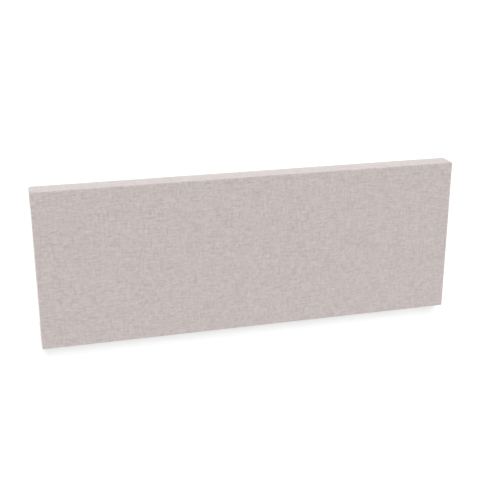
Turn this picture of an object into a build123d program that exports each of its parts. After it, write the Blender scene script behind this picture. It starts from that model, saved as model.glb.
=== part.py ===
"""Fabric-wrapped acoustic wall panel: a timber edge frame filled with a wool slab, closed at the back by a thin
liner and wrapped in one piece of cloth. It lies on its back, face up, with its long side along X. Sizes are in mm.
"""

from build123d import *
import os

# Driving dimensions
panel_length = 1200.0
panel_width = 450.0
panel_depth = 60.0
cloth_thickness = 1.0
hem_width = 40.0  # cloth returned on the back, measured from the panel's edge
fold_depth = 0.5  # depth of the lines where folded cloth meets at the corners
fold_gap = 0.8  # width of those lines
liner_thickness = 0.6
liner_inset = 3.0  # from the frame's outer faces to the liner's edge
rail_thickness = 20.0
arris_radius = 1.0  # easing of the frame's outer edges, which the cloth is bent round

# The cloth is one thickness outside the frame all round.
bend_radius = arris_radius + cloth_thickness
frame_length = panel_length - 2 * cloth_thickness
frame_width = panel_width - 2 * cloth_thickness

# Heights above the surface that the panel lies on
liner_back = cloth_thickness
frame_back = liner_back + liner_thickness
frame_front = panel_depth - cloth_thickness
frame_depth = frame_front - frame_back
lap_height = frame_depth / 2  # the corners are halved, so each rail keeps half its depth

# The slab fills the frame from rail to rail.
slab_length = frame_length - 2 * rail_thickness
slab_width = frame_width - 2 * rail_thickness


def eased_block(length, width, low, high, radius):
    """A block between two heights, with all its edges rounded."""
    with BuildPart() as block:
        with BuildSketch(Plane.XY.offset(low)):
            Rectangle(length, width)
        extrude(amount=high - low)
        fillet(block.edges(), radius)
    return block.part


def finish(part, name):
    """Labels a finished piece and writes it to its own file."""
    part.label = name
    export_step(part, f"parts/{name}.step")


os.makedirs("parts", exist_ok=True)

frame_outside = eased_block(frame_length, frame_width, frame_back, frame_front, arris_radius)
cloth_outside = eased_block(panel_length, panel_width, 0, panel_depth, bend_radius)
cloth_inside = eased_block(frame_length, frame_width, liner_back, frame_front, arris_radius)

# Long rails: full length at the front, and cut back at each end behind the lap.
long_rail_planes = {
    "top_rail": Plane.XZ.offset(-frame_width / 2),
    "bottom_rail": Plane.XZ.offset(frame_width / 2 - rail_thickness),
}
for name, plane in long_rail_planes.items():
    with BuildPart() as long_rail:
        add(frame_outside)
        with BuildSketch(plane):
            with Locations((0, frame_back + frame_depth / 2)):
                Rectangle(frame_length, frame_depth)
            with Locations(
                ((slab_length + rail_thickness) / 2, frame_back + lap_height / 2),
                (-(slab_length + rail_thickness) / 2, frame_back + lap_height / 2),
            ):
                Rectangle(rail_thickness, lap_height, mode=Mode.SUBTRACT)
        extrude(amount=rail_thickness, mode=Mode.INTERSECT)
    finish(long_rail.part, name)

# Short rails: full length at the back, and cut back at each end in front of the lap.
short_rail_planes = {
    "left_rail": Plane.YZ.offset(-frame_length / 2),
    "right_rail": Plane.YZ.offset(frame_length / 2 - rail_thickness),
}
for name, plane in short_rail_planes.items():
    with BuildPart() as short_rail:
        add(frame_outside)
        with BuildSketch(plane):
            with Locations((0, frame_back + frame_depth / 2)):
                Rectangle(frame_width, frame_depth)
            with Locations(
                ((slab_width + rail_thickness) / 2, frame_front - lap_height / 2),
                (-(slab_width + rail_thickness) / 2, frame_front - lap_height / 2),
            ):
                Rectangle(rail_thickness, lap_height, mode=Mode.SUBTRACT)
        extrude(amount=rail_thickness, mode=Mode.INTERSECT)
    finish(short_rail.part, name)

# Wool slab: pushed in between the rails, flush with them at the front and the back.
with BuildPart() as wool_slab:
    with BuildSketch(Plane.XY.offset(frame_back)):
        Rectangle(slab_length, slab_width)
    extrude(amount=frame_depth)
finish(wool_slab.part, "wool_slab")

# Back liner: a flat sheet over the slab and the rails, held by the hem all round.
with BuildPart() as back_liner:
    with BuildSketch(Plane.XY.offset(liner_back)):
        Rectangle(frame_length - 2 * liner_inset, frame_width - 2 * liner_inset)
    extrude(amount=liner_thickness)
finish(back_liner.part, "back_liner")

# Fabric cover: the cloth follows the frame's outside, and its hem leaves the back open in the middle.
with BuildPart() as fabric_cover:
    add(cloth_outside)
    add(cloth_inside, mode=Mode.SUBTRACT)
    with BuildSketch():
        Rectangle(panel_length - 2 * hem_width, panel_width - 2 * hem_width)
    extrude(amount=cloth_thickness, mode=Mode.SUBTRACT)
    # Mitre folds: a fine line across each corner of the hem, where its two folded edges meet.
    for x_side in (-1, 1):
        for y_side in (-1, 1):
            with BuildSketch():
                with BuildLine():
                    Line(
                        (x_side * (panel_length / 2 + fold_gap), y_side * (panel_width / 2 + fold_gap)),
                        (
                            x_side * (panel_length / 2 - hem_width - fold_gap),
                            y_side * (panel_width / 2 - hem_width - fold_gap),
                        ),
                    )
                trace(line_width=fold_gap)
            extrude(amount=fold_depth, mode=Mode.SUBTRACT)
    # Tucks: a fine line down each end of the short edges, where the cloth is folded under itself.
    with BuildSketch():
        with GridLocations(panel_length, panel_width - 2 * (bend_radius + fold_gap), 2, 2):
            Rectangle(2 * fold_depth, fold_gap)
    extrude(amount=panel_depth - bend_radius, mode=Mode.SUBTRACT)
finish(fabric_cover.part, "fabric_cover")
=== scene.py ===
"""A fabric-wrapped acoustic wall panel that lies on its back, face up. Sizes are in metres.

The cloth is a closed shell. Rings of points run round the panel from the flat front, over the edges, to the
end of the hem on the back and inside again. Staples hold the hem, and yarn ends stand out of its cut edges.
A wool slab and a thin liner fill the timber frame.
"""

import math
import random
from itertools import pairwise
from typing import NamedTuple

import bpy
from mathutils import Matrix, Vector, noise


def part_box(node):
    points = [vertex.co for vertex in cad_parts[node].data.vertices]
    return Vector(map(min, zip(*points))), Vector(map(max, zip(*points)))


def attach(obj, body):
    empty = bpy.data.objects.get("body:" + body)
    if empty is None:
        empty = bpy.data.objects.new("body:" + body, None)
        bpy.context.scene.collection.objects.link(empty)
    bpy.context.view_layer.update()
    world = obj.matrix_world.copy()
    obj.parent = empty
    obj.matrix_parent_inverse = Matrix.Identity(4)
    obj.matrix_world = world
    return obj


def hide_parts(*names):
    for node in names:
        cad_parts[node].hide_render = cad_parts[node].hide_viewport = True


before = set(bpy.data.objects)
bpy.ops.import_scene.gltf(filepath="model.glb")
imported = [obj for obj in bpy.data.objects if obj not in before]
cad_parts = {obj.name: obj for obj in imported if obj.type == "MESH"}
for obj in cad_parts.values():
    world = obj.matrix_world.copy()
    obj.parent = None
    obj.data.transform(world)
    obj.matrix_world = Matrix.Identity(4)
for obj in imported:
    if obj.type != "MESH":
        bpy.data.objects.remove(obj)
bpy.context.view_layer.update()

# The panel, as the solids have it
COVER_LOW, COVER_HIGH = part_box("fabric_cover")
PANEL_LENGTH = COVER_HIGH.x - COVER_LOW.x
PANEL_WIDTH = COVER_HIGH.y - COVER_LOW.y
PANEL_DEPTH = COVER_HIGH.z
CLOTH_THICKNESS = 0.001
HEM_WIDTH = 0.040
BEND_RADIUS = 0.002

# The flat front ends where the cloth starts to bend over the edges.
FACE_HALF_LENGTH = PANEL_LENGTH / 2 - BEND_RADIUS
FACE_HALF_WIDTH = PANEL_WIDTH / 2 - BEND_RADIUS
FRONT_BEND = PANEL_DEPTH - BEND_RADIUS  # the height at which the front bend becomes the side
SIDE_HEIGHT = FRONT_BEND - BEND_RADIUS  # the flat part of a side, between its two bends
HEM_REACH = HEM_WIDTH - BEND_RADIUS  # how far the hem runs in from the back bend

# Folded corners
FOLD_LINE = FACE_HALF_WIDTH - 0.0008  # where the folded edge lies on a short side
FOLD_START = 0.001  # below the front
FOLD_EASE = 0.003  # over which the fold deepens
FOLD_DEPTH = 0.0007
FOLD_GAP = 0.0010
FOLD_RISE = 0.0011  # the layers under the cloth lift it by this much
FOLD_EDGE = 0.0018  # over which the folded edge rounds over
FOLD_FADE = 0.0045  # over which the layers end
MITRE_RISE = 0.00045  # the step between the two hems at a corner
MITRE_FADE = 0.014  # over which that step is lost in the hem
MITRE_EASE = 0.0015  # from the panel's edge, over which the mitre deepens
FOLD_SHADE = 0.5  # beside a fold, where 1 is the shade deep in it
FOLD_SHADE_REACH = 0.0016

# Staples
STAPLE_CROWN = 0.010
STAPLE_LEG = 0.008
WIRE_WIDTH = 0.0009
WIRE_THICKNESS = 0.0005
STAPLE_LINE = HEM_WIDTH / 2  # from the panel's edge
STAPLE_SPACING = 0.050
STAPLE_TO_CORNER = 0.030
STAPLE_DENT = 0.00055  # how far a crown presses the hem in
DENT_FLAT, DENT_FADE = 0.0006, 0.0024  # the dent round a crown, and how far it takes to end
DENT_SHADE = 0.4  # in a dent, where 1 is the shade deep in a fold
STAPLE_STRAY = (0.0012, 0.0008, 0.06)  # how far a staple is out of line in x, in y and in its turn
CROWN_HEIGHT = 0.00005  # of the crown's outer face, above what the panel lies on

# Yarn ends along the hem's cut edges
LOOSE_SHARE = 0.7  # the share of yarns that stand out
LOOSE_END_HELD = 0.0012  # the length of each that is in the hem
LOOSE_END_TO_MITRE = 0.012
LOOSE_END_HEIGHT = 0.00062  # in the middle of the hem's thickness, a little nearer to the liner

CUT_MAP = "cut"  # the cloth's own map: each point's place on the flat cut, in metres
PICTURE_MAP = "OFBake"  # lays the cloth out over a square picture
PAINTED_SHADE_MAP = "painted_shade"  # painted shade: how deep in a fold or a dent each point lies, from 0 to 1

QUARTER = math.pi / 2


class Socket:
    """An output of a node. Arithmetic on it adds Math nodes to the same tree."""

    def __init__(self, nodes, link):
        self.nodes = nodes
        self.link = link

    def math(self, operation, *others):
        """A Math node on this output, and on the others where the operation takes more."""
        return self.nodes.math(operation, self, *others)

    def __add__(self, other):
        return self.nodes.math("ADD", self, other)

    def __radd__(self, other):
        return self.nodes.math("ADD", other, self)

    def __sub__(self, other):
        return self.nodes.math("SUBTRACT", self, other)

    def __rsub__(self, other):
        return self.nodes.math("SUBTRACT", other, self)

    def __mul__(self, other):
        return self.nodes.math("MULTIPLY", self, other)

    def __rmul__(self, other):
        return self.nodes.math("MULTIPLY", other, self)


class Nodes:
    """A node tree that is built a node at a time."""

    def __init__(self, tree):
        self.tree = tree

    def node(self, kind, settings=None, sockets=None, out=0):
        """Adds a node: first its settings, then the values or links of its sockets, by name or number."""
        made = self.tree.nodes.new(kind)
        for name, value in (settings or {}).items():
            setattr(made, name, value)
        for name, value in (sockets or {}).items():
            if isinstance(value, Socket):
                self.tree.links.new(value.link, made.inputs[name])
            else:
                made.inputs[name].default_value = value
        if isinstance(out, tuple):
            return [Socket(self, made.outputs[each]) for each in out]
        return Socket(self, made.outputs[out]) if made.outputs else None

    def math(self, operation, *values):
        return self.node("ShaderNodeMath", {"operation": operation}, dict(enumerate(values)))

    def vector(self, operation, *values, out=0):
        return self.node("ShaderNodeVectorMath", {"operation": operation}, dict(enumerate(values)), out=out)

    def joined(self, x=0.0, y=0.0, z=0.0):
        return self.node("ShaderNodeCombineXYZ", {}, {0: x, 1: y, 2: z})


class Shader(Nodes):
    """The nodes of one material, or of the world."""

    def __init__(self, owner):
        self.owner = owner
        owner.use_nodes = True
        owner.node_tree.nodes.clear()
        super().__init__(owner.node_tree)

    def seen(self):
        """1 where the camera sees the surface, also in a reflection or through glass, and otherwise 0."""
        camera, glossy, through = self.node(
            "ShaderNodeLightPath", out=("Is Camera Ray", "Is Glossy Ray", "Is Transmission Ray")
        )
        return camera.math("MAXIMUM", glossy).math("MAXIMUM", through)

    def mix(self, low, high, factor):
        """A colour between two others."""
        return self.node("ShaderNodeMix", {"data_type": "RGBA"}, {0: factor, 6: low, 7: high}, out=2)

    def either(self, first, second, factor):
        """A number between two others."""
        return self.node("ShaderNodeMix", {"data_type": "FLOAT"}, {0: factor, 2: first, 3: second})

    def noise(self, place, feature, seed=0.0, detail=0.0, roughness=0.5, out=0):
        """Noise around 0.5 whose features are about that long in x, y and z. The seed moves it elsewhere."""
        spread = tuple(1 / size for size in feature)
        moved = self.vector("MULTIPLY_ADD", place, spread, (seed, seed * 1.7, seed * 0.6))
        sockets = {"Vector": moved, "Scale": 1.0, "Detail": detail, "Roughness": roughness}
        return self.node("ShaderNodeTexNoise", {}, sockets, out=out)

    def bump(self, height, distance):
        return self.node("ShaderNodeBump", {}, {"Height": height, "Distance": distance})

    def finish(self, **sockets):
        """A Principled surface with these sockets. Underscores stand for the spaces in their names."""
        named = {name.replace("_", " "): value for name, value in sockets.items()}
        surface = self.node("ShaderNodeBsdfPrincipled", {}, named)
        self.node("ShaderNodeOutputMaterial", {}, {"Surface": surface})
        return self.owner


# The direction that each lamp shines from, its strength on a face turned to it, and how wide it is
LAMPS = [
    ("key_lamp_low", -8, 48, 0.30, 20),
    ("key_lamp_middle", -8, 62, 0.25, 20),
    ("key_lamp_high", -8, 78, 0.18, 24),
    ("low_lamp", 0, 12, 0.25, 30),
    ("fill_lamp", 200, 12, 0.30, 30),
    ("side_lamp", 100, 12, 0.20, 30),
]
SKY_LEVEL = 0.2
FLOOR_COLOUR = 0.8
FLOOR_LIFT = 0.30  # added to the floor where it is seen, so that it comes out white
WHITE = (1, 1, 1, 1)


def sun(name, azimuth, elevation, strength, softness):
    """A distant lamp that shines from that direction. Azimuth 0 is +Y, and 90 is +X."""
    lamp = bpy.data.lights.new(name, "SUN")
    lamp.energy = strength * math.pi
    lamp.angle = math.radians(softness)
    turn, tilt = math.radians(azimuth), math.radians(elevation)
    towards = Vector((math.sin(turn) * math.cos(tilt), math.cos(turn) * math.cos(tilt), math.sin(tilt)))
    placed = bpy.data.objects.new(name, lamp)
    placed.rotation_mode = "QUATERNION"
    placed.rotation_quaternion = towards.to_track_quat("Z", "Y")
    bpy.context.scene.collection.objects.link(placed)


def make_light():
    for lamp in LAMPS:
        sun(*lamp)
    world = bpy.data.worlds.new("studio")
    bpy.context.scene.world = world
    s = Shader(world)
    lit = s.node("ShaderNodeBackground", {}, {"Color": WHITE, "Strength": SKY_LEVEL})
    backdrop = s.node("ShaderNodeBackground", {}, {"Color": WHITE, "Strength": 1.0})
    shown = s.node("ShaderNodeMixShader", {}, {0: s.seen(), 1: lit, 2: backdrop})
    s.node("ShaderNodeOutputWorld", {}, {"Surface": shown})


def make_floor():
    mesh = bpy.data.meshes.new("floor")
    reach = 40.0
    corners = [(-reach, -reach, 0), (reach, -reach, 0), (reach, reach, 0), (-reach, reach, 0)]
    mesh.from_pydata(corners, [], [(0, 1, 2, 3)])
    floor = bpy.data.objects.new("floor", mesh)
    bpy.context.scene.collection.objects.link(floor)
    s = Shader(bpy.data.materials.new("floor"))
    diffuse = s.node("ShaderNodeBsdfDiffuse", {}, {"Color": (FLOOR_COLOUR,) * 3 + (1,)})
    lift = s.node("ShaderNodeEmission", {}, {"Color": WHITE, "Strength": FLOOR_LIFT})
    lifted = s.node("ShaderNodeAddShader", {}, {0: diffuse, 1: lift})
    shown = s.node("ShaderNodeMixShader", {}, {0: s.seen(), 1: diffuse, 2: lifted})
    s.node("ShaderNodeOutputMaterial", {}, {"Surface": shown})
    mesh.materials.append(s.owner)


def make_camera():
    """Looks down on the panel as the photograph does, from 20 degrees above and 15 degrees to the left."""
    lens_angle = math.radians(30)
    up_tilt, left_turn = math.radians(20), math.radians(14.97)
    distance = 2.2228 * PANEL_LENGTH
    # The view is centred a little off the panel's middle, as the photograph is.
    centre = Vector((-0.0004, 0.0004, PANEL_DEPTH / 2))
    # The upright panel is turned to lie on its back: its height runs along Y, and its depth down Z.
    level = math.cos(up_tilt)
    back = Vector((-math.sin(left_turn) * level, math.sin(up_tilt), math.cos(left_turn) * level))
    right = Vector((math.cos(left_turn), 0, math.sin(left_turn)))
    up = back.cross(right)
    camera = bpy.data.cameras.new("camera")
    camera.angle = lens_angle
    camera.clip_end = 100
    placed = bpy.data.objects.new("camera", camera)
    turned = Matrix((right, up, back)).transposed().to_4x4()
    placed.matrix_world = Matrix.Translation(centre + back * distance) @ turned
    bpy.context.scene.collection.objects.link(placed)
    bpy.context.scene.camera = placed


# Woven cloth. Its dark and its light differ by about as much in every channel, so that its tone varies most.
YARN_PITCH = 0.0016
YARN_STRAY = 0.0012  # how far a yarn strays from a straight line over a long run
YARN_WOBBLE = 0.0009  # and over a short one
YARN_RELIEF = 0.00012
CLOTH_DARK = (0.473, 0.405, 0.395, 1)
CLOTH_LIGHT = (0.643, 0.581, 0.568, 1)
# Painted shade: the colour deep in folds and dents
CLOTH_PAINTED_SHADE = (0.30, 0.245, 0.235, 1)
# How much each shows
WEFT_DARK, WEFT_LIGHT, WARP_DARK, WARP_LIGHT, MOTTLE, FIBRE, STRAND = 8.8, 3.2, 6.6, 2.4, 1.2, 0.6, 1.6
CLOTH_TONE = 0.47  # of a plain yarn, from dark to light
GAP_SHADE = 0.36  # painted shade: how much darker the gaps between yarns are
WEAVE_MEAN = 0.545  # the weave's mean height, where 1 is the top of a yarn


def beyond(value, level):
    """By how much a value is above the level, or 0."""
    return (value - level).math("MAXIMUM", 0.0)


def cloth_finish():
    """Cloth of pale mottled yarns, with scattered dark and light thick places both ways."""
    s = Shader(bpy.data.materials.new("woven_cloth"))
    cut = s.node("ShaderNodeUVMap", {"uv_map": CUT_MAP})

    # The yarns: warp runs along Y and weft along X. Each is round, and they take turns on top.
    stray = s.noise(cut, (0.06, 0.06, 1), seed=11, out="Color")
    wobble = s.noise(cut, (0.010, 0.010, 1), seed=71, out="Color")
    strayed = s.vector("MULTIPLY_ADD", stray, (YARN_STRAY, YARN_STRAY, 0), cut)
    strayed = s.vector("MULTIPLY_ADD", wobble, (YARN_WOBBLE, YARN_WOBBLE, 0), strayed)
    x, y = s.node("ShaderNodeSeparateXYZ", {}, {0: strayed}, out=(0, 1))
    warp, weft = x * (1 / YARN_PITCH), y * (1 / YARN_PITCH)
    warp_round = (warp * math.pi).math("SINE").math("ABSOLUTE")
    weft_round = (weft * math.pi).math("SINE").math("ABSOLUTE")
    warp_number, weft_number = warp.math("FLOOR"), weft.math("FLOOR")
    warp_on_top = (warp_number + weft_number).math("PINGPONG", 1.0)
    weft_over = weft_round * (0.6 + 0.4 * warp_round)
    warp_over = warp_round * (0.6 + 0.4 * weft_round)
    weave = s.either(weft_over, warp_over, warp_on_top)

    # Thick places are long in the yarn's direction and a few yarns wide. Mottling comes from mixed fibres.
    weft_slub = s.noise(s.joined(x, weft_number * YARN_PITCH), (0.028, 0.0040, 1), seed=3, detail=1)
    warp_slub = s.noise(s.joined(warp_number * YARN_PITCH, y), (0.0042, 0.026, 1), seed=7, detail=1)
    mottle = s.noise(cut, (0.0080, 0.0060, 1), seed=19, detail=2)
    fibre = s.noise(cut, (0.0011, 0.0011, 1), seed=37, detail=1)
    weft_strand = s.noise(strayed, (0.0024, 0.00026, 1), seed=53, detail=1)
    warp_strand = s.noise(strayed, (0.00026, 0.0024, 1), seed=59, detail=1)
    strand = s.either(weft_strand, warp_strand, warp_on_top)
    weft_tone = WEFT_LIGHT * beyond(1 - weft_slub, 0.55) - WEFT_DARK * beyond(weft_slub, 0.60)
    warp_tone = WARP_LIGHT * beyond(1 - warp_slub, 0.55) - WARP_DARK * beyond(warp_slub, 0.60)
    slub_tone = s.either(weft_tone, warp_tone, 0.32 + 0.36 * warp_on_top)
    mixed = MOTTLE * (mottle - 0.5) + FIBRE * (fibre - 0.5) + STRAND * (strand - 0.5)
    # The weave's height paints shade into the gaps between yarns and light onto the yarns' tops.
    tone = CLOTH_TONE + slub_tone + GAP_SHADE * (weave - WEAVE_MEAN) + mixed
    thickness = 0.7 + 0.6 * s.either(weft_slub, warp_slub, warp_on_top)
    height = weave * thickness + 0.4 * fibre + 0.35 * strand

    # Painted shade: the colour darkens in the folds and dents, where little light gets in.
    painted_shade = s.node("ShaderNodeAttribute", {"attribute_name": PAINTED_SHADE_MAP}, out="Fac")
    return s.finish(
        Base_Color=s.mix(s.mix(CLOTH_DARK, CLOTH_LIGHT, tone), CLOTH_PAINTED_SHADE, painted_shade),
        Roughness=0.66 + 0.08 * mottle,
        Specular_IOR_Level=0.3,
        Sheen_Weight=0.78,
        Sheen_Tint=(1.0, 0.978, 0.94, 1),
        Sheen_Roughness=0.5,
        Normal=s.bump(height, YARN_RELIEF),
    )


def yarn_finish():
    """A cut yarn of the cloth, with its fibres loose."""
    s = Shader(bpy.data.materials.new("cut_yarn"))
    place = s.node("ShaderNodeTexCoord", out="Object")
    mottle = s.noise(place, (0.0050, 0.0050, 0.0050), seed=61, detail=1)
    fibre = s.noise(place, (0.00035, 0.00035, 0.00035), seed=67, detail=1)
    return s.finish(
        Base_Color=s.mix(CLOTH_DARK, CLOTH_LIGHT, 2.4 * (mottle - 0.5) + 1.6 * (fibre - 0.5) + 0.55),
        Roughness=0.72 + 0.1 * fibre,
        Specular_IOR_Level=0.3,
        Sheen_Weight=0.5,
        Sheen_Roughness=0.5,
        Normal=s.bump(fibre, YARN_RELIEF),
    )


def timber_finish(name, grain):
    """Planed softwood. grain is the length of its figure in x, y and z."""
    s = Shader(bpy.data.materials.new(name))
    place = s.node("ShaderNodeTexCoord", out="Object")
    figure = s.noise(place, grain, seed=5, detail=2)
    rings = (figure * 60.0).math("SINE") * 0.5 + 0.5
    pores = s.noise(place, tuple(size / 12 for size in grain), seed=23, detail=2)
    late_wood = rings * rings
    tone = late_wood * 0.7 + (pores - 0.5) * 0.6
    return s.finish(
        Base_Color=s.mix((0.67, 0.49, 0.30, 1), (0.50, 0.32, 0.16, 1), tone),
        Roughness=0.72 - 0.12 * late_wood,
        Specular_IOR_Level=0.4,
        Normal=s.bump(pores + late_wood * 0.5, 0.00015),
    )


def wool_finish():
    """Mineral wool: matted fibres that lie mostly flat in the slab."""
    s = Shader(bpy.data.materials.new("mineral_wool"))
    place = s.node("ShaderNodeTexCoord", out="Object")
    clumps = s.noise(place, (0.030, 0.030, 0.009), seed=2, detail=3, roughness=0.6)
    lengthwise = s.noise(place, (0.012, 0.0012, 0.0010), seed=13, detail=2, roughness=0.65)
    crosswise = s.noise(place, (0.0012, 0.012, 0.0010), seed=17, detail=2, roughness=0.65)
    fibres = lengthwise.math("MAXIMUM", crosswise)
    tone = (clumps - 0.5) * 1.2 + (fibres - 0.5) * 2.0 + 0.45
    return s.finish(
        Base_Color=s.mix((0.33, 0.27, 0.15, 1), (0.55, 0.48, 0.32, 1), tone),
        Roughness=0.90 - 0.1 * fibres,
        Specular_IOR_Level=0.3,
        Sheen_Weight=0.2,
        Sheen_Roughness=0.5,
        Normal=s.bump(fibres + clumps, 0.0008),
    )


LAID_WAYS = 5  # the ways that the liner's fibres run


def liner_finish():
    """Black non-woven sheet: fine fibres laid every way, in thinner and thicker clouds. The fibres are
    painted lighter as a sheen.
    """
    s = Shader(bpy.data.materials.new("non_woven_liner"))
    place = s.node("ShaderNodeTexCoord", out="Object")
    fibres = 0.0
    for number in range(LAID_WAYS):
        turn = math.pi * (number + 0.2) / LAID_WAYS
        along = s.vector("DOT_PRODUCT", place, (math.cos(turn), math.sin(turn), 0), out="Value")
        across = s.vector("DOT_PRODUCT", place, (-math.sin(turn), math.cos(turn), 0), out="Value")
        laid = s.noise(s.joined(along, across), (0.014, 0.0008, 1), seed=31 + 8 * number, detail=1)
        fibres += beyond(laid, 0.56)
    clouds = s.noise(place, (0.020, 0.020, 0.02), seed=41, detail=3, roughness=0.6)
    # Painted sheen: the laid fibres are coloured lighter than the sheet between them; the clouds are its
    # thinner and thicker places.
    tone = fibres * 2.6 + (clouds - 0.5) * 1.3 + 0.12
    return s.finish(
        Base_Color=s.mix((0.020, 0.020, 0.022, 1), (0.072, 0.072, 0.075, 1), tone),
        Roughness=0.82 - 0.5 * fibres,
        Specular_IOR_Level=0.4,
        Sheen_Weight=0.15,
        Sheen_Roughness=0.4,
        Normal=s.bump(fibres + 0.2 * clouds, 0.0003),
    )


def wire_finish():
    """Galvanised wire, with fine lines from its drawing along X, the way that most crowns lie."""
    s = Shader(bpy.data.materials.new("staple_wire"))
    place = s.node("ShaderNodeTexCoord", out="Object")
    drawn = s.noise(place, (0.0030, 0.0003, 0.0003), seed=43, detail=2)
    spangle = s.noise(place, (0.0016, 0.0016, 0.0016), seed=47)
    tone = (spangle - 0.5) * 1.4 + (drawn - 0.5) + 0.5
    return s.finish(
        Base_Color=s.mix((0.48, 0.48, 0.47, 1), (0.72, 0.71, 0.69, 1), tone),
        Metallic=1.0,
        Roughness=0.34 + 0.16 * drawn,
        Normal=s.bump(drawn, 0.00003),
    )


def smooth(value):
    """Rises from 0 to 1 as the value does, and is level beyond them."""
    part = min(max(value, 0.0), 1.0)
    return part * part * (3 - 2 * part)


def bell(value):
    """1 at 0, and less on both sides."""
    return math.exp(-value * value)


class Spot(NamedTuple):
    """A place on the back, and a turn about Z: the middle of a staple's crown, or the base of a yarn end."""

    x: float
    y: float
    turn: float


def row_places(half):
    """Where the staples of one side stand: their distances from its middle, evenly from end to end."""
    count = round((half - STAPLE_TO_CORNER) * 2 / STAPLE_SPACING)
    spacing = (half - STAPLE_TO_CORNER) * 2 / count
    return [(step - count / 2) * spacing for step in range(count + 1)]


LONG_ROW = row_places(PANEL_LENGTH / 2)
SHORT_ROW = row_places(PANEL_WIDTH / 2)


def staple_spots():
    """All staples, set a little out of line as a hand-held gun leaves them."""
    draw = random.Random(4)
    spots = []
    for side in (-1, 1):
        spots += [(place, side * (PANEL_WIDTH / 2 - STAPLE_LINE), 0.0) for place in LONG_ROW]
        spots += [(side * (PANEL_LENGTH / 2 - STAPLE_LINE), place, QUARTER) for place in SHORT_ROW]
    return [
        Spot(*(value + draw.uniform(-most, most) for value, most in zip(spot, STAPLE_STRAY)))
        for spot in spots
    ]


SPOTS = staple_spots()


class Across(NamedTuple):
    """A point of the cloth's section across an edge."""

    out: float  # outwards from the end of the flat front
    height: float
    run: float  # along the cloth from the end of the flat front
    faces_out: float
    faces_up: float


class Station(NamedTuple):
    """A place on the outline of the flat front."""

    x: float
    y: float
    out_x: float
    out_y: float
    turn: float  # how far round the corner from the long side
    on_short: bool


SIDE_ROWS = 26
BEND_STEPS = 6
CORNER_STEPS = 4
SUPPORT = 0.0005  # a row this close to a bend keeps the flat next to it flat


def section(radius, bend_steps, side_rows, hem_places):
    """One face of the cloth across an edge, from the flat front over the side to the hem's places."""
    points = []
    for step in range(bend_steps + 1):
        angle = QUARTER * step / bend_steps
        out, up = math.sin(angle), math.cos(angle)
        points.append(Across(radius * out, FRONT_BEND + radius * up, BEND_RADIUS * angle, out, up))
    rows = [SIDE_HEIGHT * row / side_rows for row in range(1, side_rows)]
    downs = [SUPPORT, *rows, SIDE_HEIGHT - SUPPORT]
    for down in downs:
        points.append(Across(radius, FRONT_BEND - down, BEND_RADIUS * QUARTER + down, 1.0, 0.0))
    for step in range(bend_steps + 1):
        angle = QUARTER * step / bend_steps
        # Rounded, so that the bend's last row faces straight down, as the hem does.
        out, up = round(math.cos(angle), 9), -round(math.sin(angle), 9)
        run = BEND_RADIUS * (QUARTER + angle) + SIDE_HEIGHT
        points.append(Across(radius * out, BEND_RADIUS + radius * up, run, out, up))
    end = points[-1]
    points += [Across(-place, end.height, end.run + place, 0.0, -1.0) for place in hem_places]
    return points


# Marks along a side are where its columns of points stand. The first two lists give them from a corner.
CLOSEST, WIDEST = 0.00035, 0.017  # the least and the most from one mark to the next
CORNER_MARKS = [0.0004, 0.0008, 0.0012, 0.0016, 0.0022, 0.0030, 0.0042, 0.0060, 0.0082, 0.0105]
FOLD_MARKS = [0.0105 + 0.0024 * n for n in range(1, 22)]  # over its folded layers
STAPLE_MARKS = [-0.0080, -0.0062, -0.0044, 0.0044, 0.0062, 0.0080]  # from the middle of a staple


def side_marks(half, row, corner_marks):
    """Places along one side from corner to corner, close together at the corners and round each staple."""
    marks = {0.0} | {half - step for step in corner_marks}
    # The hem narrows towards its end, so a place on it lies a little further out on the flat front's edge.
    spread = half / (half + BEND_RADIUS - STAPLE_LINE)
    for place in row:
        marks |= {(place + step) * spread for step in STAPLE_MARKS}
    kept = [0.0]
    for mark in sorted(marks):
        if kept[-1] + CLOSEST < mark < half - CLOSEST:
            kept.append(mark)
    kept.append(half)
    filled = []
    for low, high in pairwise(kept):
        parts = math.ceil((high - low) / WIDEST)
        filled += [low + (high - low) * part / parts for part in range(parts)]
    filled.append(half)
    return [-mark for mark in reversed(filled[1:])] + filled


LONG_MARKS = side_marks(FACE_HALF_LENGTH, LONG_ROW, CORNER_MARKS)
SHORT_MARKS = side_marks(FACE_HALF_WIDTH, SHORT_ROW, CORNER_MARKS + FOLD_MARKS)


def outline():
    """Stations once round the panel, anticlockwise seen from the front, from the bottom side's left end."""
    stations = []
    for half_turn in (1, -1):
        x_end, y_side = half_turn * FACE_HALF_LENGTH, -half_turn * FACE_HALF_WIDTH
        stations += [Station(half_turn * mark, y_side, 0, -half_turn, 0, False) for mark in LONG_MARKS]
        for step in range(1, CORNER_STEPS):
            turn = QUARTER * step / CORNER_STEPS
            out_x, out_y = half_turn * math.sin(turn), -half_turn * math.cos(turn)
            stations.append(Station(x_end, y_side, out_x, out_y, turn, False))
        stations += [Station(x_end, half_turn * mark, half_turn, 0, QUARTER, True) for mark in SHORT_MARKS]
        for step in range(1, CORNER_STEPS):
            turn = QUARTER * (1 - step / CORNER_STEPS)
            out_x, out_y = half_turn * math.sin(turn), half_turn * math.cos(turn)
            stations.append(Station(x_end, -y_side, out_x, out_y, turn, False))
    return stations


def plain_place(station, point):
    """Where the cloth would lie without folds or dents."""
    if point.out > 0:
        return station.x + station.out_x * point.out, station.y + station.out_y * point.out, point.height
    return (
        station.x * (1 + point.out / FACE_HALF_LENGTH),
        station.y * (1 + point.out / FACE_HALF_WIDTH),
        point.height,
    )


def cut_place(station, point, on_short):
    """Where a point of the wrapped cloth lies on the flat cut. The corners are the long sides' cloth."""
    x, y, _ = plain_place(station, point._replace(out=min(point.out, 0)))
    if on_short:
        return math.copysign(FACE_HALF_LENGTH + point.run, station.x), y
    round_corner = station.turn * max(point.out, 0)
    return x + math.copysign(round_corner, x), math.copysign(FACE_HALF_WIDTH + point.run, station.y)


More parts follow.
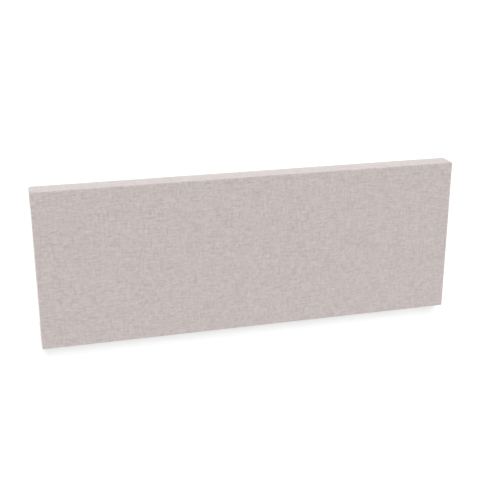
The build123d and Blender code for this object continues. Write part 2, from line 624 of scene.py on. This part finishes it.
# The flat cut reaches from one hem's end to the other's, both ways. Its corners are folded away.
HEM_RUN = SIDE_HEIGHT + 2 * BEND_RADIUS * QUARTER + HEM_REACH
CUT_HALF_LENGTH = FACE_HALF_LENGTH + HEM_RUN
CUT_HALF_WIDTH = FACE_HALF_WIDTH + HEM_RUN

# The picture's layout, in metres of cloth: the front and the long sides lie along its foot, and the two short
# sides lie in a row above them. The inside of the cloth, which doesn't show, is drawn small beside those.
PICTURE_GAP = 0.004
PICTURE_ROW = 2 * CUT_HALF_WIDTH + PICTURE_GAP
INSIDE_SCALE = HEM_RUN / CUT_HALF_WIDTH / 2
PICTURE_WIDTH = 2 * (FACE_HALF_LENGTH + BEND_RADIUS * QUARTER) + PICTURE_GAP
PICTURE_HEIGHT = PICTURE_ROW + HEM_RUN + PICTURE_GAP


def picture_place(patch, x, y):
    """Where a place on the flat cut lies on the square picture, from 0 to 1 both ways."""
    if patch == "inside":
        across = 4 * FACE_HALF_WIDTH + 2 * PICTURE_GAP + (x + CUT_HALF_LENGTH) * INSIDE_SCALE
        up = PICTURE_ROW + (y + CUT_HALF_WIDTH) * INSIDE_SCALE
    elif patch == "right":
        across, up = FACE_HALF_WIDTH - y, PICTURE_ROW + x - FACE_HALF_LENGTH
    elif patch == "left":
        across, up = 3 * FACE_HALF_WIDTH + PICTURE_GAP + y, PICTURE_ROW - x - FACE_HALF_LENGTH
    else:
        across, up = PICTURE_WIDTH / 2 - PICTURE_GAP / 2 + x, CUT_HALF_WIDTH + y
    return (across + PICTURE_GAP / 2) / PICTURE_WIDTH, (up + PICTURE_GAP / 2) / PICTURE_HEIGHT


class Relief(NamedTuple):
    """How the cloth lies at a place: how far off its plain shape, and how deep in a crease, from 0 to 1,
    which sets its painted shade.
    """

    rise: float
    painted_shade: float


def shade_beside(away):
    """How deep in shade the cloth is at that distance from a fold."""
    return FOLD_SHADE * bell(away / FOLD_SHADE_REACH)


def tuck(y, depth):
    """The relief of a folded corner, at that place along a short side and that depth below the front."""
    inwards = FOLD_LINE - abs(y)
    begins = smooth((depth - FOLD_START) / FOLD_EASE)
    groove = bell(inwards / (FOLD_GAP / 2)) * begins
    # The layers folded away behind it reach in as far as they are deep.
    layers = smooth(inwards / FOLD_EDGE) * smooth((depth - inwards) / FOLD_FADE)
    # The second value is painted shade, in the groove and beside the fold.
    return Relief(FOLD_RISE * layers - FOLD_DEPTH * groove, max(groove, shade_beside(inwards) * begins))


# How uneven the cloth lies, and how many lumps it has to a metre
SIDE_UNEVEN, SIDE_LUMPS = 0.00012, Vector((16, 16, 24))
HEM_UNEVEN, HEM_LUMPS = 0.00010, 30
HEM_SLICE = 3  # the level of the noise that the hem takes, away from the sides' own
HEM_EASE = 0.010  # the hem lies flat at the panel's edge, and grows uneven over this


def side_relief(station, point):
    """The relief of the sides, outwards."""
    uneven = SIDE_UNEVEN * noise.noise(Vector((station.x, station.y, point.height)) * SIDE_LUMPS)
    folded = tuck(station.y, PANEL_DEPTH - point.height) if station.on_short else Relief(0.0, 0.0)
    return Relief((uneven + folded.rise) * point.faces_out, folded.painted_shade)


def staple_dent(x, y):
    """How far the staples press the hem in at a place, from 0 to 1."""
    dent = 0.0
    for spot in SPOTS:
        if max(abs(x - spot.x), abs(y - spot.y)) < STAPLE_CROWN:
            along = (x - spot.x) * math.cos(spot.turn) + (y - spot.y) * math.sin(spot.turn)
            across = (y - spot.y) * math.cos(spot.turn) - (x - spot.x) * math.sin(spot.turn)
            away = math.hypot(max(abs(along) - STAPLE_CROWN / 2, 0), across)
            dent = max(dent, 1 - smooth((away - DENT_FLAT) / DENT_FADE))
    return dent


def hem_relief(x, y, reach):
    """The relief of the hem's outside, upwards from the panel's back. reach is how far in a place is."""
    from_end, from_side = PANEL_LENGTH / 2 - abs(x), PANEL_WIDTH / 2 - abs(y)
    from_mitre = abs(from_end - from_side) / math.sqrt(2)
    begins = smooth(reach / MITRE_EASE)
    in_mitre = bell(from_mitre / (FOLD_GAP / 2)) * begins
    sunk = FOLD_DEPTH * in_mitre
    if from_side < from_end:  # the long side's hem lies under the short side's
        sunk = max(sunk, MITRE_RISE * (1 - smooth(from_mitre / MITRE_FADE)) * begins)
    lumps = 1 + noise.noise(Vector((x * HEM_LUMPS, y * HEM_LUMPS, HEM_SLICE)))
    uneven = HEM_UNEVEN * lumps * smooth(reach / HEM_EASE)
    dent = staple_dent(x, y)
    # Painted shade in the mitre's fold, beside it, and in the dents round the staples.
    painted_shade = max(in_mitre, shade_beside(from_mitre) * begins, DENT_SHADE * dent)
    return Relief(max(sunk, STAPLE_DENT * dent) + uneven, painted_shade)


def outer_place(station, point):
    """Where the outside of the cloth lies, with its folds, dents and lumps, and how much painted shade it
    takes there.
    """
    x, y, z = plain_place(station, point)
    if point.faces_up == -1:
        lifted = hem_relief(x, y, -point.out)
        return x, y, z + lifted.rise, lifted.painted_shade
    if point.out <= 0:
        return x, y, z, 0.0
    moved = side_relief(station, point)
    return x + station.out_x * moved.rise, y + station.out_y * moved.rise, z, moved.painted_shade


# How far in from the back bend the hem's rows of points lie. They are close together where the staples are.
STAPLE_ROWS = [STAPLE_LINE - BEND_RADIUS + 0.0009 * row for row in range(-4, 5)]
HEM_ROWS = [SUPPORT, 0.003, 0.007, 0.011, *STAPLE_ROWS, 0.026, 0.030, 0.034, HEM_REACH - SUPPORT]
CUT_WAVE, CUT_WAVES = 0.0005, 90  # how uneven the hem's cut edge is, and how often to a metre


def cover_rings():
    """The section's points, from the front over the cloth's outside to the hem's end, and back inside it."""
    outside = section(BEND_RADIUS, BEND_STEPS, SIDE_ROWS, [*HEM_ROWS, HEM_REACH])
    # The inside doesn't show, so it needs fewer rows.
    inner_hem = [SUPPORT, HEM_REACH / 2, HEM_REACH]
    inside = section(BEND_RADIUS - CLOTH_THICKNESS, bend_steps=3, side_rows=4, hem_places=inner_hem)
    return [(point, True) for point in outside] + [(point, False) for point in reversed(inside)]


def ring_key(station, point):
    """What tells the points of a ring apart. Inside the bends, a corner's stations are one point."""
    return station.x, station.y, station.turn if point.out > 0 else None


def number_ring(point, outside, stations, places):
    """Adds one ring's points to the places. Returns each one's number, by its ring key."""
    numbers = {}
    for station in stations:
        key = ring_key(station, point)
        if key not in numbers:
            at = point
            if point.out == -HEM_REACH:  # the hem's cut edge
                wave = 1 + noise.noise(Vector((station.x, station.y, 0)) * CUT_WAVES)
                at = point._replace(out=point.out - CUT_WAVE * wave / 2)
            numbers[key] = len(places)
            places.append(outer_place(station, at) if outside else (*plain_place(station, at), 0.0))
    return numbers


def number_face_grid(border, places):
    """Numbers the points of the flat front, whose border is a ring that is there already."""
    grid = {}
    for x in LONG_MARKS:
        for y in SHORT_MARKS:
            grid[x, y] = border.get((x, y, None), len(places))
            if grid[x, y] == len(places):
                places.append((x, y, PANEL_DEPTH, 0.0))
    return grid


def cover_mesh():
    """The cloth's closed shell: each point's place and painted shade, the faces, and their corners on both
    maps.
    """
    stations, rings = outline(), cover_rings()
    places, faces, cut_places, picture_places = [], [], [], []
    numbers = [number_ring(point, outside, stations, places) for point, outside in rings]

    def add_face(patch, corners):
        """corners: each one's point and place on the cut. Two in a row that are one point count once."""
        kept = [corner for index, corner in enumerate(corners) if corner[0] != corners[index - 1][0]]
        if len(kept) > 2:
            faces.append([number for number, _ in kept])
            cut_places.extend(place for _, place in kept)
            picture_places.extend(picture_place(patch, *place) for _, place in kept)

    for ((upper, outside), above), ((lower, _), below) in pairwise(zip(rings, numbers)):
        for here, following in zip(stations, [*stations[1:], stations[0]]):
            on_short = here.on_short and following.on_short
            if not outside:
                patch = "inside"
            elif on_short:
                patch = "right" if here.x > 0 else "left"
            else:
                patch = "front"
            corners = [
                (row[ring_key(station, point)], cut_place(station, point, on_short))
                for station, point, row in (
                    (here, lower, below),
                    (following, lower, below),
                    (following, upper, above),
                    (here, upper, above),
                )
            ]
            add_face(patch, corners)

    grid = number_face_grid(numbers[0], places)
    for left, right in pairwise(LONG_MARKS):
        for low, high in pairwise(SHORT_MARKS):
            corners = ((left, low), (right, low), (right, high), (left, high))
            add_face("front", [(grid[place], place) for place in corners])

    # The inside of the front needs no grid. Strips run across it, and the end ones meet every mark.
    for left, right in pairwise(LONG_MARKS):
        left_marks = SHORT_MARKS if left == LONG_MARKS[0] else (SHORT_MARKS[0], SHORT_MARKS[-1])
        right_marks = SHORT_MARKS if right == LONG_MARKS[-1] else (SHORT_MARKS[0], SHORT_MARKS[-1])
        strip = [(left, y) for y in left_marks] + [(right, y) for y in reversed(right_marks)]
        add_face("inside", [(numbers[-1][(x, y, None)], (x, y)) for x, y in strip])
    return places, faces, {CUT_MAP: cut_places, PICTURE_MAP: picture_places}


SHARP_TURN = math.radians(50)  # an edge that turns by more than this is shaded sharp


def add_piece(name, mesh, finish):
    """A finished piece, with its place in its mesh."""
    mesh.name = name
    mesh.materials.clear()
    mesh.materials.append(finish)
    mesh.shade_smooth()
    mesh.set_sharp_from_angle(angle=SHARP_TURN)
    piece = bpy.data.objects.new(name, mesh)
    bpy.context.scene.collection.objects.link(piece)
    return piece


def make_cover(finish):
    places, faces, maps = cover_mesh()
    mesh = bpy.data.meshes.new("cloth_cover")
    mesh.from_pydata([place[:3] for place in places], [], faces)
    # Each point's painted shade, which the cloth's colour reads.
    painted_shade = mesh.attributes.new(PAINTED_SHADE_MAP, "FLOAT", "POINT")
    painted_shade.data.foreach_set("value", [place[3] for place in places])
    for name, map_places in maps.items():
        layer = mesh.uv_layers.new(name=name)
        layer.uv.foreach_set("vector", [number for place in map_places for number in place])
    return add_piece("cloth_cover", mesh, finish)


class Shape(Nodes):
    """A Geometry Nodes tree with named inputs, which makes one kind of piece."""

    def __init__(self, name, inputs):
        """inputs: each one's name, its type and its value."""
        group = bpy.data.node_groups.new(name, "GeometryNodeTree")
        super().__init__(group)
        self.values = {}
        for title, kind, value in inputs:
            item = group.interface.new_socket(title, in_out="INPUT", socket_type="NodeSocket" + kind)
            if kind != "Geometry":
                self.values[item.identifier] = value
        group.interface.new_socket("Shape", in_out="OUTPUT", socket_type="NodeSocketGeometry")
        titles = tuple(title for title, _, _ in inputs)
        self.inputs = dict(zip(titles, self.node("NodeGroupInput", out=titles)))

    def random(self, low, high, seed):
        """A number between two others, for each point."""
        kind = {"data_type": "FLOAT"}
        return self.node("FunctionNodeRandomValue", kind, {2: low, 3: high, "Seed": seed}, out=1)

    def lumps(self, feature, detail, out=0):
        """Noise in space whose features are about that long."""
        spread = self.joined(feature, feature, feature)
        place = self.vector("DIVIDE", self.node("GeometryNodeInputPosition"), spread)
        sockets = {"Vector": place, "Scale": 1.0, "Detail": detail, "Roughness": 0.6}
        return self.node("ShaderNodeTexNoise", {}, sockets, out=out)

    def moved(self, geometry, offset):
        return self.node("GeometryNodeSetPosition", {}, {"Geometry": geometry, "Offset": offset})

    def swept(self, path, section):
        """The section drawn along the path, with closed ends."""
        curves = {"Curve": path, "Profile Curve": section}
        return self.node("GeometryNodeCurveToMesh", {}, {**curves, "Fill Caps": True})

    def turn(self):
        """The turns that the points of turned_points carry."""
        return self.node("GeometryNodeInputNamedAttribute", {"data_type": "FLOAT"}, {"Name": "turn"})

    def stood(self, shape, points, turn, scale):
        """The shape on every point, turned about Z."""
        sockets = {"Points": points, "Instance": shape, "Rotation": self.joined(z=turn), "Scale": scale}
        return self.node("GeometryNodeInstanceOnPoints", {}, sockets)

    def make(self, name, geometry, finish, base=None):
        """Ends the tree and gives its result as a piece with a plain mesh."""
        realized = self.node("GeometryNodeRealizeInstances", {}, {"Geometry": geometry})
        painted = self.node("GeometryNodeSetMaterial", {}, {"Geometry": realized, "Material": finish})
        self.node("NodeGroupOutput", {}, {"Shape": painted})
        holder = bpy.data.objects.new(name + "_holder", base or bpy.data.meshes.new(name + "_base"))
        bpy.context.scene.collection.objects.link(holder)
        modifier = holder.modifiers.new("shape", "NODES")
        modifier.node_group = self.tree
        for identifier, value in self.values.items():
            modifier[identifier] = value
        mesh = bpy.data.meshes.new_from_object(holder.evaluated_get(bpy.context.evaluated_depsgraph_get()))
        bpy.data.objects.remove(holder)
        return add_piece(name, mesh, finish)


def turned_points(name, spots, height):
    """The spots as a mesh of points at that height, with their turns as an attribute."""
    mesh = bpy.data.meshes.new(name)
    mesh.from_pydata([(spot.x, spot.y, height) for spot in spots], [], [])
    mesh.attributes.new("turn", "FLOAT", "POINT").data.foreach_set("value", [spot.turn for spot in spots])
    return mesh


def make_staples(finish):
    """Every staple: a wire bent twice, with its crown on the hem and its legs in the rail."""
    s = Shape(
        "staples",
        [
            ("Spots", "Geometry", None),
            ("Crown", "Float", STAPLE_CROWN),
            ("Leg", "Float", STAPLE_LEG),
            ("Wire Width", "Float", WIRE_WIDTH),
            ("Wire Thickness", "Float", WIRE_THICKNESS),
            ("Bend Radius", "Float", 0.0008),
        ],
    )
    given = s.inputs
    # Four points in a row make the path: the outer two are the legs' tips, and the others the crown's ends.
    index = s.node("GeometryNodeInputIndex")
    side = index.math("GREATER_THAN", 1.5) * 2 - 1
    at_end = (index - 1.5).math("ABSOLUTE").math("GREATER_THAN", 1.0)
    path_place = s.joined(x=side * (given["Crown"] - given["Wire Thickness"]) * 0.5, z=at_end * given["Leg"])
    line = s.node("GeometryNodeMeshLine", {}, {"Count": 4})
    bent = s.node("GeometryNodeSetPosition", {}, {"Geometry": line, "Position": path_place})
    path = s.node("GeometryNodeMeshToCurve", {}, {"Mesh": bent})
    bend = {"Curve": path, "Count": 4, "Radius": given["Bend Radius"]}
    rounded = s.node("GeometryNodeFilletCurve", {"mode": "POLY"}, bend)
    wire_size = {"Width": given["Wire Thickness"], "Height": given["Wire Width"]}
    wire = s.swept(rounded, s.node("GeometryNodeCurvePrimitiveQuadrilateral", {}, wire_size))
    placed = s.stood(wire, given["Spots"], s.turn(), (1, 1, 1))
    spots = turned_points("staple_spots", SPOTS, CROWN_HEIGHT + WIRE_THICKNESS / 2)
    return s.make("staples", placed, finish, spots)


def loose_end_spots():
    """Where yarn ends stand out of the hem's cut edges: a place in the hem, and the way each one points."""
    draw = random.Random(9)
    spots = []
    for quarter in range(4):
        across, along = (PANEL_WIDTH, PANEL_LENGTH) if quarter % 2 else (PANEL_LENGTH, PANEL_WIDTH)
        turn = quarter * QUARTER
        out = across / 2 - HEM_WIDTH + LOOSE_END_HELD
        reach = along / 2 - HEM_WIDTH - LOOSE_END_TO_MITRE
        for number in range(round(2 * reach / YARN_PITCH)):
            if draw.random() < LOOSE_SHARE:
                place = (number + draw.random()) * YARN_PITCH - reach
                x = -out * math.cos(turn) - place * math.sin(turn)
                y = -out * math.sin(turn) + place * math.cos(turn)
                spots.append(Spot(x, y, turn))
    return spots


def make_loose_ends(finish):
    """Yarn ends along the hem's cut edges, of uneven length and each bent its own way."""
    s = Shape(
        "loose_ends",
        [
            ("Spots", "Geometry", None),
            ("Longest", "Float", 0.0045),
            ("Shortest", "Float", 0.42),
            ("Yarn Radius", "Float", 0.00028),
            ("Lean", "Float", 0.5),
            ("Bend", "Vector", (0.0018, 0.0018, 0.0002)),
            ("Bend Length", "Float", 0.0028),
            ("Seed", "Int", 6),
        ],
    )
    given = s.inputs
    line = s.node("GeometryNodeCurvePrimitiveLine", {}, {"End": s.joined(x=given["Longest"])})
    path = s.node("GeometryNodeResampleCurve", {}, {"Curve": line, "Count": 6})
    yarn_size = {"Resolution": 5, "Radius": given["Yarn Radius"]}
    end = s.swept(path, s.node("GeometryNodeCurvePrimitiveCircle", {}, yarn_size))
    lean = s.random(-1.0, 1.0, given["Seed"]) * given["Lean"]
    spread = s.random(0.0, 1.0, given["Seed"] + 1)
    length = given["Shortest"] + (1 - given["Shortest"]) * spread * spread
    placed = s.stood(end, given["Spots"], s.turn() + lean, s.joined(x=length, y=1.0, z=1.0))
    realized = s.node("GeometryNodeRealizeInstances", {}, {"Geometry": placed})
    wander = s.vector("SUBTRACT", s.lumps(given["Bend Length"], 0.0, out="Color"), (0.5, 0.5, 0.5))
    bent = s.moved(realized, s.vector("MULTIPLY", wander, given["Bend"]))
    spots = turned_points("loose_end_spots", loose_end_spots(), LOOSE_END_HEIGHT)
    return s.make("loose_ends", bent, finish, spots)


def make_soft_block(name, node, finish, spacing, relief, feature):
    """A block in place of a node, with points that far apart and faces sunk unevenly by up to the relief."""
    low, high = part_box(node)
    size = high - low
    counts = [
        (f"Points {axis}", "Int", max(2, round(side / spacing) + 1)) for axis, side in zip("XYZ", size)
    ]
    s = Shape(
        name,
        [
            ("Size", "Vector", size),
            ("Centre", "Vector", (low + high) / 2),
            ("Relief", "Float", relief),
            ("Feature", "Float", feature),
            *counts,
        ],
    )
    given = s.inputs
    divided = {f"Vertices {axis}": given[f"Points {axis}"] for axis in "XYZ"}
    block = s.node("GeometryNodeMeshCube", {}, {"Size": given["Size"], **divided})
    centred = s.node("GeometryNodeTransform", {}, {"Geometry": block, "Translation": given["Centre"]})
    inwards = 0 - s.lumps(given["Feature"], 2.0) * given["Relief"]
    sunk = s.vector("MULTIPLY", s.node("GeometryNodeInputNormal"), s.joined(inwards, inwards, inwards))
    return s.make(name, s.moved(centred, sunk), finish)


make_camera()
make_light()
make_floor()

cover = make_cover(cloth_finish())
slab = make_soft_block(
    "wool_filling", "wool_slab", wool_finish(), spacing=0.008, relief=0.0008, feature=0.012
)
liner = make_soft_block(
    "back_sheet", "back_liner", liner_finish(), spacing=0.006, relief=0.00012, feature=0.030
)
staples = make_staples(wire_finish())
loose_ends = make_loose_ends(yarn_finish())

replacements = (
    (cover, "fabric_cover", "cloth"),
    (slab, "wool_slab", "wool"),
    (liner, "back_liner", "liner"),
)
for piece, node, slot in replacements:
    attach(piece, "root")
    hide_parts(node)
for piece, slot in ((staples, "staple_wire"), (loose_ends, "cloth")):
    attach(piece, "root")

lengthwise = timber_finish("softwood_lengthwise", (0.35, 0.018, 0.018))
crosswise = timber_finish("softwood_crosswise", (0.018, 0.35, 0.018))
rails = {"top_rail": lengthwise, "bottom_rail": lengthwise, "left_rail": crosswise, "right_rail": crosswise}
for node, finish in rails.items():
    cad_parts[node].data.materials.clear()
    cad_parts[node].data.materials.append(finish)

2 * CUT_HALF_LENGTH
2 * CUT_HALF_WIDTH

bpy.context.scene.view_settings.view_transform = "Standard"
